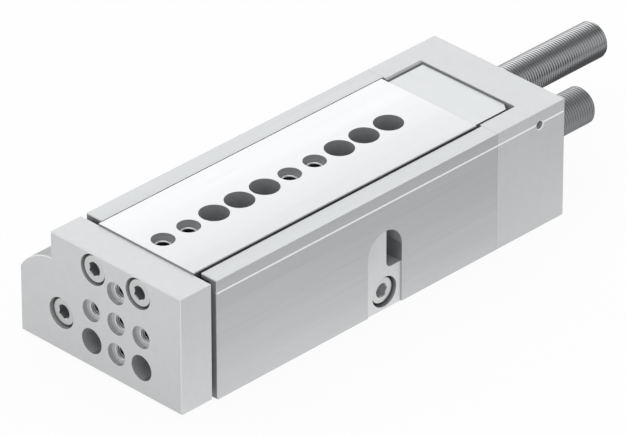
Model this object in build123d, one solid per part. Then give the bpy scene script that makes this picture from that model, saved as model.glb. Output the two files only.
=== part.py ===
from build123d import *
import math
import os

# Pneumatic mini slide, twin end stops, 50 mm of travel
# X runs across the slide, Y along the travel (minus Y is the yoke end), Z up
# The origin lies on the base face, midway between its six fixing holes

# Travel
stroke = 50.0
stop_gap = 0.3

# Hole grid shared by the slide, the yoke and the base
pitch = 10.0
thread_radius = 2.1
hole_spare = 1.0
cut_margin = 1.0
locating_radius = 3.5
locating_depth = 1.8

# Fixing screws, size M5
screw_radius = 2.5
screw_head_radius = 4.25
screw_head_height = 5.0
screw_hex = 4.0
screw_hex_depth = 2.6
screw_fit = 0.05
screw_pass_radius = 2.75
counterbore_radius = 4.9

# Smaller screws, size M4, of the end cap and the end block
cap_screw_radius = 2.0
cap_screw_head_radius = 3.5
cap_screw_head_height = 4.0
cap_screw_hex = 3.0
cap_screw_hex_depth = 2.0
cap_counterbore_radius = 3.8
cap_counterbore_depth = 4.6
cap_screw_inset = 5.0
cap_screw_pass_radius = 2.25
cap_screw_reach = 10.0
block_counterbore_radius = 3.7

# Body section, the same for the yoke, the housing and the end cap
body_half_width = 26.0
body_height = 38.8
shoulder_reach = 38.7
shoulder_radius = 16.7
shoulder_inset = 14.2
shoulder_crown_angle = 35.0
side_groove_drop = 4.0
side_groove_height = 0.6
side_groove_rise = 0.5
side_groove_depth = 0.3
edge_break = 0.2

# Housing
housing_front = -59.75
housing_length = 112.75
channel_wall = 6.2
channel_depth = 8.8

# Slide
yoke_gap = 1.95
slide_side_gap = 0.7
slide_proud = 0.5
slide_thickness = 9.0
slide_back_gap = 1.5
access_radius = 4.5

# Yoke plate
yoke_thickness = 12.0
yoke_floor_gap = 1.15
yoke_grid_drop = 19.15
yoke_pass_radius = 4.0
yoke_screw_x = 9.0
yoke_screw_drop = 5.3
yoke_screw_reach = 10.0
yoke_counterbore_depth = 5.6
rod_counterbore_depth = 6.0

# End cap
cap_length = 28.1
pocket_wall = 7.15
pocket_length = 14.7
pocket_depth = 22.9
pocket_lip = 1.4
pocket_undercut = 2.65
pocket_edge = 0.5
side_hole_radius = 1.3
side_hole_depth = 4.0
side_hole_drop = 4.55
side_hole_from_back = 10.4

# Ball guide
ball_radius = 1.5
ball_drop = 4.4
ball_count = 6
ball_pitch = 9.5
groove_clearance = 0.05
rail_thickness = 3.2
rail_height = 6.0
rail_fit = 0.02
cage_thickness = 0.35
cage_height = 4.6
cage_hole_clearance = 0.1
cage_end_margin = 4.0
cage_front_margin = 2.5

# Cylinder
bore_inset = 16.5
bore_z = 13.6
bore_radius = 8.0
rod_radius = 4.0
rod_flat_width = 7.0
rod_flat_length = 5.0
rod_flat_start = 2.5
rod_thread_depth = 14.0
rod_thread_spare = 2.0
running_fit = 0.05
piston_length = 18.0
piston_back_gap = 6.0
piston_seal_width = 2.4
piston_seal_depth = 1.8
piston_magnet_width = 4.0
piston_magnet_sink = 0.25
piston_land = 2.0
ring_side_gap = 0.05
spigot_radius = 2.5
nut_width = 8.0
nut_thickness = 2.7
nut_tail = 1.0

# Rod bearing at the front of the bore
bearing_length = 11.0
bearing_fit = 0.02
bearing_seat = 1.6
bearing_groove_width = 1.8
bearing_groove_depth = 1.3
rod_seal_length = 3.5
rod_seal_radius = 6.2
rod_seal_lip = 0.04
rod_seal_wall = 0.7
rod_seal_slit = 2.0
seal_fit = 0.02
circlip_thickness = 1.0
circlip_side_gap = 0.01
circlip_fit = 0.05
circlip_depth = 0.9
circlip_inner = 6.4
circlip_gap_angle = 50.0

# Threaded stop sleeves, size M12 x 1
sleeve_radius = 5.9
sleeve_thread_fit = 0.1
sleeve_pass_clearance = 0.4
sleeve_drop = 14.8
advance_sleeve_x = -9.0
retract_sleeve_inset = 2.9
advance_sleeve_proud = 50.4
retract_sleeve_proud = 19.8
sleeve_chamfer = 0.8
sleeve_hex = 5.0
sleeve_hex_depth = 5.0
buffer_radius = 3.0
buffer_proud = 1.0
buffer_depth = 4.0
buffer_edge = 0.5

# End block behind the slide
block_length = 15.7
block_inset = 1.7
block_top_step = 1.1
block_floor_step = 0.3
block_corner_across = 2.4
block_corner_along = 1.8
boss_radius = 7.5
boss_length = 9.6
boss_clearance = 0.3
lug_width = 8.4
lug_drop = 6.0
lug_length = 11.4
lug_clearance = 0.5
block_screw_x = 11.0
block_screw_reach = 9.0

# Fixed stop across the housing
stop_left_x = -13.2
stop_post_right_x = -4.0
stop_right_inset = 1.4
stop_front = 0.9
stop_post_thickness = 4.8
stop_base_length = 9.4
stop_floor = 2.5
stop_base_top = 12.0
stop_top_gap = 0.6
stop_fit = 0.1
stop_screw_y = 7.2
stop_screw_z = 5.8
stop_screw_thread = 9.0
stop_screw_head_depth = 6.4

# Side recess with its window
recess_front = 0.2
recess_width = 13.7
recess_depth = 0.4
recess_top = 26.1
window_front = 8.0
window_floor = 13.3
window_corner = 2.0

# Base fixing
base_seat_z = 10.5
base_head_radius = 4.5
base_locating_step = 2.5

# Air passages
port_depth = 6.0
port_front_z = 5.0
port_front_from_joint = 9.0
port_back_from_joint = 19.0
passage_radius = 1.25
passage_inset = 10.3
passage_z = 3.4
passage_turn_y = 4.0
plug_radius = 1.5
plug_sink = 0.2
plug_end_gap = 0.1
joint_ring_width = 1.4
joint_ring_depth = 1.2
joint_ring_gap = 1.2
joint_ring_fit = 0.05
passage_ring_gap = 0.3

# Sensor slot on the left side
sensor_z = 13.6
sensor_mouth = 2.9
sensor_radius = 2.1
sensor_neck = 1.2

# Places worked out from the sizes above
joint_y = housing_front + housing_length
cap_back = joint_y + cap_length
slide_front = housing_front - yoke_gap
slide_back = joint_y - slide_back_gap
slide_top = body_height + slide_proud
slide_floor = slide_top - slide_thickness
channel_half_width = body_half_width - channel_wall
channel_floor = body_height - channel_depth
slide_half_width = channel_half_width - slide_side_gap
shoulder_centre_x = shoulder_inset - shoulder_reach
bore_x = bore_inset - shoulder_reach
passage_x = passage_inset - shoulder_reach
side_groove_z = body_height - side_groove_drop
side_hole_z = body_height - side_hole_drop
yoke_screw_z = body_height - yoke_screw_drop
yoke_grid_z = body_height - yoke_grid_drop
yoke_front = slide_front - yoke_thickness
block_back = slide_back + block_length
pocket_back = joint_y + pocket_length
pocket_half_width = body_half_width - pocket_wall
pocket_floor = body_height - pocket_depth
thread_steps = [-5.5, -4.5, -0.5, 0.5]
access_steps = [-3.5, -2.5, -1.5, 1.5, 2.5, 3.5]
yoke_thread_steps = [(0, 1), (-1, 0), (0, 0), (1, 0), (0, -1)]
yoke_pass_steps = [(-1, -1), (1, -1)]
ball_x = (slide_half_width + channel_half_width) / 2
ball_z = body_height - ball_drop
rail_floor = ball_z - rail_height / 2
rail_back_x = channel_half_width + rail_thickness
block_half_width = slide_half_width - block_inset
block_top = slide_top - block_top_step
block_floor = slide_floor + block_floor_step
block_screw_z = (block_floor + block_top) / 2
sleeve_z = body_height - sleeve_drop
retract_sleeve_x = block_half_width - retract_sleeve_inset
advance_sleeve_back = cap_back + advance_sleeve_proud
retract_sleeve_back = cap_back + retract_sleeve_proud
lug_inner_x = block_half_width - lug_width
lug_floor = sleeve_z - lug_drop
stop_right_x = block_half_width - stop_right_inset
stop_top = channel_floor - stop_top_gap
lug_back = slide_back + lug_length
boss_front = block_back - boss_length
advance_tip = stop_front + stop_post_thickness + stop_gap + stroke
retract_tip = lug_back + stop_gap
chamber_front = stop_front - stop_fit
piston_back = joint_y - piston_back_gap
piston_front = piston_back - piston_length
cap_screw_places = [(cap_screw_inset - shoulder_reach, 21.6), (-11.0, 5.6), (6.0, 6.4),
                    (body_half_width - cap_screw_inset, 9.6)]


def section_plane(y):
    """Upright plane across the travel whose normal points at the yoke."""
    return Plane(origin=(0, y, 0), x_dir=(1, 0, 0), z_dir=(0, -1, 0))


def extrude_y(profile, y_start, y_end):
    """Prism along the travel from a profile drawn in X and Z."""
    return extrude(section_plane(y_start) * profile, amount=y_start - y_end)


def rod_along_y(x, z, radius, y_start, y_end):
    return extrude_y(Pos(x, z) * Circle(radius), y_start, y_end)


def rod_along_z(x, y, radius, z_start, z_end):
    return extrude(Plane(origin=(x, y, z_start)) * Circle(radius), amount=z_end - z_start)


def rod_along_x(y, z, radius, x_start, x_end):
    side = Plane(origin=(x_start, y, z), x_dir=(0, 1, 0), z_dir=(1, 0, 0))
    return extrude(side * Circle(radius), amount=x_end - x_start)


def rectangle_between(x_low, z_low, x_high, z_high):
    centre = ((x_low + x_high) / 2, (z_low + z_high) / 2)
    return Pos(*centre) * Rectangle(x_high - x_low, z_high - z_low)


def turned(points, x, z):
    """Revolved piece on an axis along Y, from pairs of radius and Y."""
    outline = make_face(Polyline(*[(radius, y, 0) for radius, y in points], close=True))
    return Pos(x, 0, z) * revolve(outline, Axis.Y)


def socket_screw(radius, head_radius, head_height, hex_width, hex_depth, reach):
    """Cap screw along Z, its head above the XY plane and its shank below."""
    body = rod_along_z(0, 0, head_radius, 0, head_height) + rod_along_z(0, 0, radius, -reach, 0)
    socket = Plane(origin=(0, 0, head_height)) * RegularPolygon(hex_width / 2, 6, major_radius=False)
    return body - extrude(socket, amount=-hex_depth)


def facing(x, y, z, direction):
    """Place on which a screw's head points along the given direction."""
    across = (0, 1, 0) if abs(direction[0]) > 0.5 else (1, 0, 0)
    return Location(Plane(origin=(x, y, z), x_dir=across, z_dir=direction))


def body_profile(z_low):
    """Body section: upright right side, stepped left side with its round shoulder."""
    rise = math.sqrt(shoulder_radius**2 - (shoulder_reach + shoulder_centre_x) ** 2)
    flat_top = bore_z + rise
    step_x = -body_half_width
    step_z = bore_z + math.sqrt(shoulder_radius**2 - (step_x - shoulder_centre_x) ** 2)
    turn = math.radians(shoulder_crown_angle)
    crown = (
        shoulder_centre_x - shoulder_radius * math.sin(turn),
        bore_z + shoulder_radius * math.cos(turn),
    )
    lower = Polyline((step_x, body_height), (body_half_width, body_height), (body_half_width, z_low),
                     (-shoulder_reach, z_low), (-shoulder_reach, flat_top))
    shoulder = ThreePointArc((-shoulder_reach, flat_top), crown, (step_x, step_z))
    step = Line((step_x, step_z), (step_x, body_height))
    return make_face(lower + shoulder + step)


def grooved_body(y_start, y_end):
    """Body length with the fine groove along its right side, whose lower flank is the long one."""
    floor_z = side_groove_z - side_groove_height / 2
    corners = [(body_half_width, floor_z), (body_half_width, floor_z + side_groove_height),
               (body_half_width - side_groove_depth, floor_z + side_groove_rise)]
    groove = make_face(Polyline(*corners, close=True))
    return extrude_y(body_profile(0), y_start, y_end) - extrude_y(groove, y_start, y_end)


def rounded_slot_profile(x, z, radius, top):
    """Slot with a round floor, open at the top."""
    return Pos(x, z) * Circle(radius) + rectangle_between(x - radius, z, x + radius, top)


def make_housing():
    solid = grooved_body(housing_front, joint_y)
    channel = rectangle_between(-channel_half_width, channel_floor, channel_half_width,
                                body_height + cut_margin)
    seat_x = rail_back_x + rail_fit
    seat = rectangle_between(-seat_x, rail_floor - rail_fit, seat_x, rail_floor + rail_height + rail_fit)
    solid -= extrude_y(channel + seat, housing_front, joint_y)
    solid -= rod_along_y(bore_x, bore_z, bore_radius, housing_front, joint_y)
    solid -= circlip_groove()

    boss_slot = rounded_slot_profile(advance_sleeve_x, sleeve_z, boss_radius + boss_clearance, channel_floor)
    lug_slot = rectangle_between(lug_inner_x - lug_clearance, lug_floor - lug_clearance,
                                 block_half_width + lug_clearance, channel_floor)
    solid -= extrude_y(boss_slot + lug_slot, chamber_front, joint_y)

    stop_seat = rectangle_between(stop_left_x - stop_fit, stop_floor - stop_fit,
                                  stop_right_x + stop_fit, channel_floor)
    solid -= extrude_y(stop_seat, chamber_front, stop_front + stop_base_length + stop_fit)
    solid -= side_recess()

    for step in access_steps:
        y = step * pitch
        solid -= rod_along_z(0, y, screw_pass_radius, 0, channel_floor)
        solid -= rod_along_z(0, y, base_head_radius, base_seat_z, channel_floor)
    for side in (-1, 1):
        solid -= rod_along_z(0, side * base_locating_step * pitch, locating_radius, 0, locating_depth)
    for x, z in cap_screw_places:
        solid -= rod_along_y(x, z, cap_screw_radius + screw_fit, joint_y - cap_screw_reach - hole_spare,
                              joint_y)

    turn_y = housing_front + bearing_seat + bearing_length + passage_turn_y
    solid -= rod_along_y(passage_x, passage_z, passage_radius, turn_y, joint_y)
    solid -= rod_along_z(passage_x, turn_y, passage_radius, passage_z, bore_z)
    solid -= rod_along_z(passage_x, turn_y, plug_radius + screw_fit, 0, passage_z)
    solid -= sensor_slot(housing_front, joint_y)
    ends = solid.faces().filter_by(Axis.Y).sort_by(Axis.Y)
    rim = ends[0].outer_wire().edges()
    return chamfer(rim, edge_break)


def circlip_groove():
    y = housing_front + bearing_seat
    return rod_along_y(bore_x, bore_z, bore_radius + circlip_depth, y - circlip_thickness, y)


def side_recess():
    """Shallow round-topped recess, its window into the stop chamber and its screw hole."""
    radius = recess_width / 2
    middle_y = recess_front + radius
    round_z = recess_top - radius
    face = Plane(origin=(body_half_width, 0, 0), x_dir=(0, 1, 0), z_dir=(1, 0, 0))
    outline = Pos(middle_y, round_z) * Circle(radius)
    outline += rectangle_between(recess_front, 0, recess_front + recess_width, round_z)
    cut = extrude(face * outline, amount=-recess_depth)
    half = rectangle_between(window_front, window_floor, recess_front + recess_width, recess_top)
    window = outline & half
    corner = window.vertices().sort_by_distance((window_front, window_floor, 0))[0]
    window = fillet(corner, window_corner)
    cut += extrude(face * window, amount=-(body_half_width - block_half_width))
    head_floor = body_half_width - stop_screw_head_depth
    cut += rod_along_x(stop_screw_y, stop_screw_z, counterbore_radius, head_floor, body_half_width)
    cut += rod_along_x(stop_screw_y, stop_screw_z, screw_pass_radius, stop_right_x, head_floor)
    return cut


def sensor_slot(y_start, y_end):
    """Round undercut slot with a narrow mouth for a position sensor."""
    centre_x = -shoulder_reach + sensor_neck + sensor_radius
    half = sensor_mouth / 2
    mouth = rectangle_between(-shoulder_reach, sensor_z - half, centre_x, sensor_z + half)
    return extrude_y(Pos(centre_x, sensor_z) * Circle(sensor_radius) + mouth, y_start, y_end)


def make_end_cap():
    solid = grooved_body(joint_y, cap_back)
    left_x = pocket_edge - pocket_half_width
    pocket = rectangle_between(left_x, pocket_floor, pocket_half_width, body_height + cut_margin)
    undercut_x = pocket_half_width + pocket_undercut
    pocket += rectangle_between(-undercut_x, channel_floor, undercut_x, body_height - pocket_lip)
    edge = make_face(Polyline((-pocket_half_width, body_height), (left_x, body_height),
                              (left_x, body_height - pocket_edge), close=True))
    solid -= extrude_y(pocket + edge, joint_y, pocket_back)
    pass_radius = sleeve_radius + sleeve_pass_clearance
    solid -= rod_along_y(advance_sleeve_x, sleeve_z, pass_radius, pocket_back, cap_back)
    thread_hole_radius = sleeve_radius + sleeve_thread_fit
    solid -= rod_along_y(retract_sleeve_x, sleeve_z, thread_hole_radius, retract_tip, cap_back)
    for x, z in cap_screw_places:
        solid -= rod_along_y(x, z, cap_screw_pass_radius, joint_y, cap_back)
        solid -= rod_along_y(x, z, cap_counterbore_radius, cap_back - cap_counterbore_depth, cap_back)

    hole_y = cap_back - side_hole_from_back
    hole_floor_x = body_half_width - side_hole_depth
    solid -= rod_along_x(hole_y, side_hole_z, side_hole_radius, hole_floor_x, body_half_width)

    back_y = joint_y + port_back_from_joint
    solid -= rod_along_y(bore_x, bore_z, passage_radius, joint_y, back_y)
    solid -= rod_along_x(back_y, bore_z, passage_radius, -shoulder_reach, bore_x)
    port_floor_x = port_depth - shoulder_reach
    solid -= rod_along_x(back_y, bore_z, thread_radius, -shoulder_reach, port_floor_x)
    front_y = joint_y + port_front_from_joint
    solid -= rod_along_y(passage_x, passage_z, passage_radius, joint_y, front_y)
    solid -= rod_along_x(front_y, port_front_z, passage_radius, -shoulder_reach, passage_x)
    solid -= rod_along_x(front_y, port_front_z, thread_radius, -shoulder_reach, port_floor_x)
    for ring in joint_rings(0):
        solid -= ring
    rim = solid.faces().filter_by(Axis.Y).sort_by(Axis.Y)[-1].outer_wire().edges()
    return chamfer(rim, edge_break)


def joint_rings(clearance):
    """Rings in the cap's front face, round the bore and round the passage, narrowed by a clearance."""
    rings = []
    for x, z, inner in ((bore_x, bore_z, bore_radius - joint_ring_gap - joint_ring_width),
                        (passage_x, passage_z, passage_radius + passage_ring_gap)):
        outline = Circle(inner + joint_ring_width - clearance) - Circle(inner + clearance)
        rings.append(extrude_y(Pos(x, z) * outline, joint_y, joint_y + joint_ring_depth))
    return rings


def make_slide():
    solid = extrude_y(rectangle_between(-slide_half_width, slide_floor, slide_half_width, slide_top),
                      slide_front, slide_back)
    long_edges = solid.edges().filter_by(Axis.Y).group_by(Axis.Z)[-1]
    solid = chamfer(long_edges, edge_break)
    for side in (-1, 1):
        solid -= rod_along_y(side * ball_x, ball_z, ball_radius + groove_clearance, slide_front, slide_back)
    for step in thread_steps:
        solid -= rod_along_z(0, step * pitch, thread_radius, slide_floor, slide_top)
        solid -= rod_along_z(0, step * pitch, locating_radius, slide_top - locating_depth, slide_top)
    for step in access_steps:
        solid -= rod_along_z(0, step * pitch, access_radius, slide_floor, slide_top)
    for side in (-1, 1):
        solid -= rod_along_y(side * yoke_screw_x, yoke_screw_z, screw_radius + screw_fit,
                             slide_front, slide_front + yoke_screw_reach + hole_spare)
        solid -= rod_along_y(side * block_screw_x, block_screw_z, cap_screw_radius + screw_fit,
                             slide_back - block_screw_reach - hole_spare, slide_back)
    return solid


def make_yoke():
    solid = extrude_y(body_profile(yoke_floor_gap), yoke_front, slide_front)
    ends = solid.faces().filter_by(Axis.Y)
    solid = chamfer(ends.edges(), edge_break)
    for across, up in yoke_thread_steps:
        x = across * pitch
        z = yoke_grid_z + up * pitch
        solid -= rod_along_y(x, z, thread_radius, yoke_front, slide_front)
        solid -= rod_along_y(x, z, locating_radius, yoke_front, yoke_front + locating_depth)
    for across, up in yoke_pass_steps:
        z = yoke_grid_z + up * pitch
        solid -= rod_along_y(across * pitch, z, yoke_pass_radius, yoke_front, slide_front)
    for x, z, depth in ((-yoke_screw_x, yoke_screw_z, yoke_counterbore_depth),
                        (yoke_screw_x, yoke_screw_z, yoke_counterbore_depth),
                        (bore_x, bore_z, rod_counterbore_depth)):
        solid -= rod_along_y(x, z, screw_pass_radius, yoke_front, slide_front)
        solid -= rod_along_y(x, z, counterbore_radius, yoke_front, yoke_front + depth)
    return solid


def make_rail(side):
    bar = rectangle_between(channel_half_width, rail_floor, rail_back_x, rail_floor + rail_height)
    solid = extrude_y(bar, housing_front + edge_break, joint_y)
    solid -= rod_along_y(ball_x, ball_z, ball_radius + groove_clearance, housing_front, joint_y)
    return solid if side > 0 else mirror(solid, Plane.YZ)


def cage_places():
    """Ball places at rest, set so that the forward cage still lies between rail and slide."""
    span = (ball_count - 1) * ball_pitch
    front = housing_front + cage_front_margin + stroke / 2 + cage_end_margin
    return [front + i * ball_pitch for i in range(ball_count)], span


def make_cage(side):
    places, span = cage_places()
    middle_y = places[0] + span / 2
    length = span + 2 * cage_end_margin
    strip = Pos(side * ball_x, middle_y, ball_z) * Box(cage_thickness, length, cage_height)
    for y in places:
        strip -= rod_along_x(y, ball_z, ball_radius + cage_hole_clearance,
                             side * ball_x - cage_thickness, side * ball_x + cage_thickness)
    return strip


def make_balls(side):
    places, _ = cage_places()
    return Compound(children=[Pos(side * ball_x, y, ball_z) * Sphere(ball_radius) for y in places])


def make_end_block():
    plate = rectangle_between(-block_half_width, block_floor, block_half_width, block_top)
    solid = extrude_y(plate, slide_back, block_back)
    corner = make_face(Polyline((block_half_width - block_corner_across, block_back),
                                (block_half_width, block_back - block_corner_along),
                                (block_half_width, block_back), close=True))
    solid -= extrude(Pos(0, 0, block_floor) * corner, amount=block_top - block_floor)
    boss = rounded_slot_profile(advance_sleeve_x, sleeve_z, boss_radius, block_floor)
    solid += extrude_y(boss, boss_front, block_back)
    lug = rectangle_between(lug_inner_x, lug_floor, block_half_width, block_floor)
    solid += extrude_y(lug, slide_back, lug_back)
    thread_hole_radius = sleeve_radius + sleeve_thread_fit
    solid -= rod_along_y(advance_sleeve_x, sleeve_z, thread_hole_radius, boss_front, block_back)
    for side in (-1, 1):
        x = side * block_screw_x
        solid -= rod_along_y(x, block_screw_z, cap_screw_pass_radius, slide_back, block_back)
        solid -= rod_along_y(x, block_screw_z, block_counterbore_radius,
                             block_back - cap_counterbore_depth, block_back)
    return solid


def make_sleeve(x, tip, back):
    """Threaded sleeve with chamfered ends, a hollow nose for its buffer and a hex at the back."""
    nose = tip + buffer_proud
    outline = [
        (0, nose + buffer_depth), (buffer_radius + screw_fit, nose + buffer_depth),
        (buffer_radius + screw_fit, nose), (sleeve_radius - sleeve_chamfer, nose),
        (sleeve_radius, nose + sleeve_chamfer), (sleeve_radius, back - sleeve_chamfer),
        (sleeve_radius - sleeve_chamfer, back), (0, back),
    ]
    solid = turned(outline, x, sleeve_z)
    socket = Pos(x, sleeve_z) * RegularPolygon(sleeve_hex / 2, 6, major_radius=False)
    return solid - extrude_y(socket, back - sleeve_hex_depth, back)


def make_buffer(x, tip):
    seat = tip + buffer_proud + buffer_depth
    outline = [(0, tip), (buffer_radius - buffer_edge, tip), (buffer_radius, tip + buffer_edge),
               (buffer_radius, seat), (0, seat)]
    return turned(outline, x, sleeve_z)


def make_fixed_stop():
    """Cross bar with an upright post at its left end, drawn as one bent section."""
    post = rectangle_between(stop_left_x, stop_floor, stop_post_right_x, stop_top)
    base = rectangle_between(stop_left_x, stop_floor, stop_right_x, stop_base_top)
    solid = extrude_y(base, stop_front, stop_front + stop_base_length)
    solid += extrude_y(post, stop_front, stop_front + stop_post_thickness)
    return solid - rod_along_x(stop_screw_y, stop_screw_z, screw_radius + screw_fit,
                               stop_right_x - stop_screw_thread - hole_spare, stop_right_x)


def make_piston():
    groove = piston_seal_depth
    radius = bore_radius - running_fit
    hole = spigot_radius + screw_fit
    y = piston_front
    outline = [(hole, y), (radius, y)]
    for width in (piston_seal_width, piston_magnet_width, piston_seal_width):
        y += piston_land
        outline += [(radius, y), (radius - groove, y), (radius - groove, y + width), (radius, y + width)]
        y += width
    outline += [(radius, piston_back), (hole, piston_back)]
    return turned(outline, bore_x, bore_z)


def piston_ring(start, width, outer):
    inner = bore_radius - running_fit - piston_seal_depth + seal_fit
    outline = Circle(outer) - Circle(inner)
    return extrude_y(Pos(bore_x, bore_z) * outline, start + ring_side_gap, start + width - ring_side_gap)


def make_piston_seals():
    first = piston_front + piston_land
    second = first + piston_seal_width + 2 * piston_land + piston_magnet_width
    outer = bore_radius - running_fit / 2
    return Compound(children=[piston_ring(y, piston_seal_width, outer) for y in (first, second)])


def make_piston_magnet():
    start = piston_front + 2 * piston_land + piston_seal_width
    return piston_ring(start, piston_magnet_width, bore_radius - running_fit - piston_magnet_sink)


def make_rod():
    """Rod with key flats at the front and a stepped spigot that carries the piston."""
    tail = piston_back + nut_thickness + nut_tail
    outline = [
        (0, slide_front), (rod_radius - edge_break, slide_front), (rod_radius, slide_front + edge_break),
        (rod_radius, piston_front), (spigot_radius, piston_front), (spigot_radius, tail), (0, tail),
    ]
    solid = turned(outline, bore_x, bore_z)
    thread_end = slide_front + rod_thread_depth
    solid -= rod_along_y(bore_x, bore_z, screw_radius + screw_fit, slide_front, thread_end)
    start = slide_front + rod_flat_start
    for side in (-1, 1):
        inner = side * rod_flat_width / 2
        outer = side * (rod_radius + cut_margin)
        flat = rectangle_between(bore_x + min(inner, outer), bore_z - rod_radius,
                                 bore_x + max(inner, outer), bore_z + rod_radius)
        solid -= extrude_y(flat, start, start + rod_flat_length)
    return solid


def make_piston_nut():
    outline = RegularPolygon(nut_width / 2, 6, major_radius=False) - Circle(spigot_radius + screw_fit)
    return extrude_y(Pos(bore_x, bore_z) * outline, piston_back, piston_back + nut_thickness)


def make_rod_bearing():
    """Bush in the mouth of the bore, hollowed at its inner end for the rod seal."""
    front = housing_front + bearing_seat
    back = front + bearing_length
    groove = front + bearing_length / 2
    outer = bore_radius - bearing_fit
    groove_end = groove + bearing_groove_width
    floor = outer - bearing_groove_depth
    outline = [
        (rod_radius + running_fit, front), (outer, front), (outer, groove), (floor, groove),
        (floor, groove_end), (outer, groove_end), (outer, back), (rod_seal_radius, back),
        (rod_seal_radius, back - rod_seal_length), (rod_radius + running_fit, back - rod_seal_length),
    ]
    return turned(outline, bore_x, bore_z)


def make_rod_seal():
    back = housing_front + bearing_seat + bearing_length
    front = back - rod_seal_length + ring_side_gap
    ring = Circle(rod_seal_radius - seal_fit) - Circle(rod_radius + rod_seal_lip)
    slit = Circle(rod_seal_radius - rod_seal_wall) - Circle(rod_radius + rod_seal_lip + rod_seal_wall)
    solid = extrude_y(Pos(bore_x, bore_z) * ring, front, back)
    return solid - extrude_y(Pos(bore_x, bore_z) * slit, back - rod_seal_slit, back)


def make_bearing_ring():
    groove = housing_front + bearing_seat + bearing_length / 2
    outer = bore_radius - bearing_fit
    outline = Circle(outer) - Circle(outer - bearing_groove_depth + seal_fit)
    return extrude_y(Pos(bore_x, bore_z) * outline, groove + ring_side_gap,
                     groove + bearing_groove_width - ring_side_gap)


def make_circlip():
    """Split spring ring in the groove in front of the bearing, open at the bottom."""
    outer = bore_radius + circlip_depth - circlip_fit
    half = math.radians(circlip_gap_angle / 2)
    reach = outer * 2
    gap = make_face(Polyline((0, 0), (reach * math.sin(half), -reach * math.cos(half)),
                             (-reach * math.sin(half), -reach * math.cos(half)), close=True))
    ring = Circle(outer) - Circle(circlip_inner) - gap
    y = housing_front + bearing_seat
    return extrude_y(Pos(bore_x, bore_z) * ring, y - circlip_thickness + circlip_side_gap,
                     y - circlip_side_gap)


def make_passage_plug():
    y = housing_front + bearing_seat + bearing_length + passage_turn_y
    return rod_along_z(passage_x, y, plug_radius, plug_sink, passage_z - passage_radius - plug_end_gap)


def m5_screw(reach):
    return socket_screw(screw_radius, screw_head_radius, screw_head_height,
                        screw_hex, screw_hex_depth, reach)


def m4_screw(reach):
    return socket_screw(cap_screw_radius, cap_screw_head_radius, cap_screw_head_height,
                        cap_screw_hex, cap_screw_hex_depth, reach)


def make_yoke_screws():
    seat = yoke_front + yoke_counterbore_depth
    reach = slide_front - seat + yoke_screw_reach
    return Compound(children=[facing(side * yoke_screw_x, seat, yoke_screw_z, (0, -1, 0)) * m5_screw(reach)
                              for side in (-1, 1)])


def make_rod_screw():
    seat = yoke_front + rod_counterbore_depth
    reach = slide_front - seat + rod_thread_depth - rod_thread_spare
    return facing(bore_x, seat, bore_z, (0, -1, 0)) * m5_screw(reach)


def make_stop_screw():
    seat = body_half_width - stop_screw_head_depth
    reach = seat - stop_right_x + stop_screw_thread
    return facing(seat, stop_screw_y, stop_screw_z, (1, 0, 0)) * m5_screw(reach)


def make_cap_screws():
    seat = cap_back - cap_counterbore_depth
    reach = seat - joint_y + cap_screw_reach
    return Compound(children=[facing(x, seat, z, (0, 1, 0)) * m4_screw(reach) for x, z in cap_screw_places])


def make_block_screws():
    seat = block_back - cap_counterbore_depth
    reach = seat - slide_back + block_screw_reach
    return Compound(children=[facing(side * block_screw_x, seat, block_screw_z, (0, 1, 0)) * m4_screw(reach)
                              for side in (-1, 1)])


nodes = {
    "housing": make_housing(),
    "end_cap": make_end_cap(),
    "end_cap_screws": make_cap_screws(),
    "joint_rings": Compound(children=joint_rings(joint_ring_fit)),
    "guide_rail_left": make_rail(-1),
    "guide_rail_right": make_rail(1),
    "fixed_stop": make_fixed_stop(),
    "fixed_stop_screw": make_stop_screw(),
    "rod_bearing": make_rod_bearing(),
    "rod_bearing_ring": make_bearing_ring(),
    "rod_seal": make_rod_seal(),
    "circlip": make_circlip(),
    "passage_plug": make_passage_plug(),
    "slide": make_slide(),
    "yoke_plate": make_yoke(),
    "yoke_screws": make_yoke_screws(),
    "rod_screw": make_rod_screw(),
    "piston_rod": make_rod(),
    "piston": make_piston(),
    "piston_seals": make_piston_seals(),
    "piston_magnet": make_piston_magnet(),
    "piston_nut": make_piston_nut(),
    "slide_end_block": make_end_block(),
    "end_block_screws": make_block_screws(),
    "ball_cage_left": make_cage(-1),
    "ball_cage_right": make_cage(1),
    "guide_balls_left": make_balls(-1),
    "guide_balls_right": make_balls(1),
    "retract_stop_sleeve": make_sleeve(retract_sleeve_x, retract_tip, retract_sleeve_back),
    "retract_buffer": make_buffer(retract_sleeve_x, retract_tip),
    "advance_stop_sleeve": make_sleeve(advance_sleeve_x, advance_tip, advance_sleeve_back),
    "advance_buffer": make_buffer(advance_sleeve_x, advance_tip),
}

os.makedirs("parts", exist_ok=True)
for name, shape in nodes.items():
    export_step(shape, f"parts/{name}.step")
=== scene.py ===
import bpy
import math
from mathutils import Matrix, Vector


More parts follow.
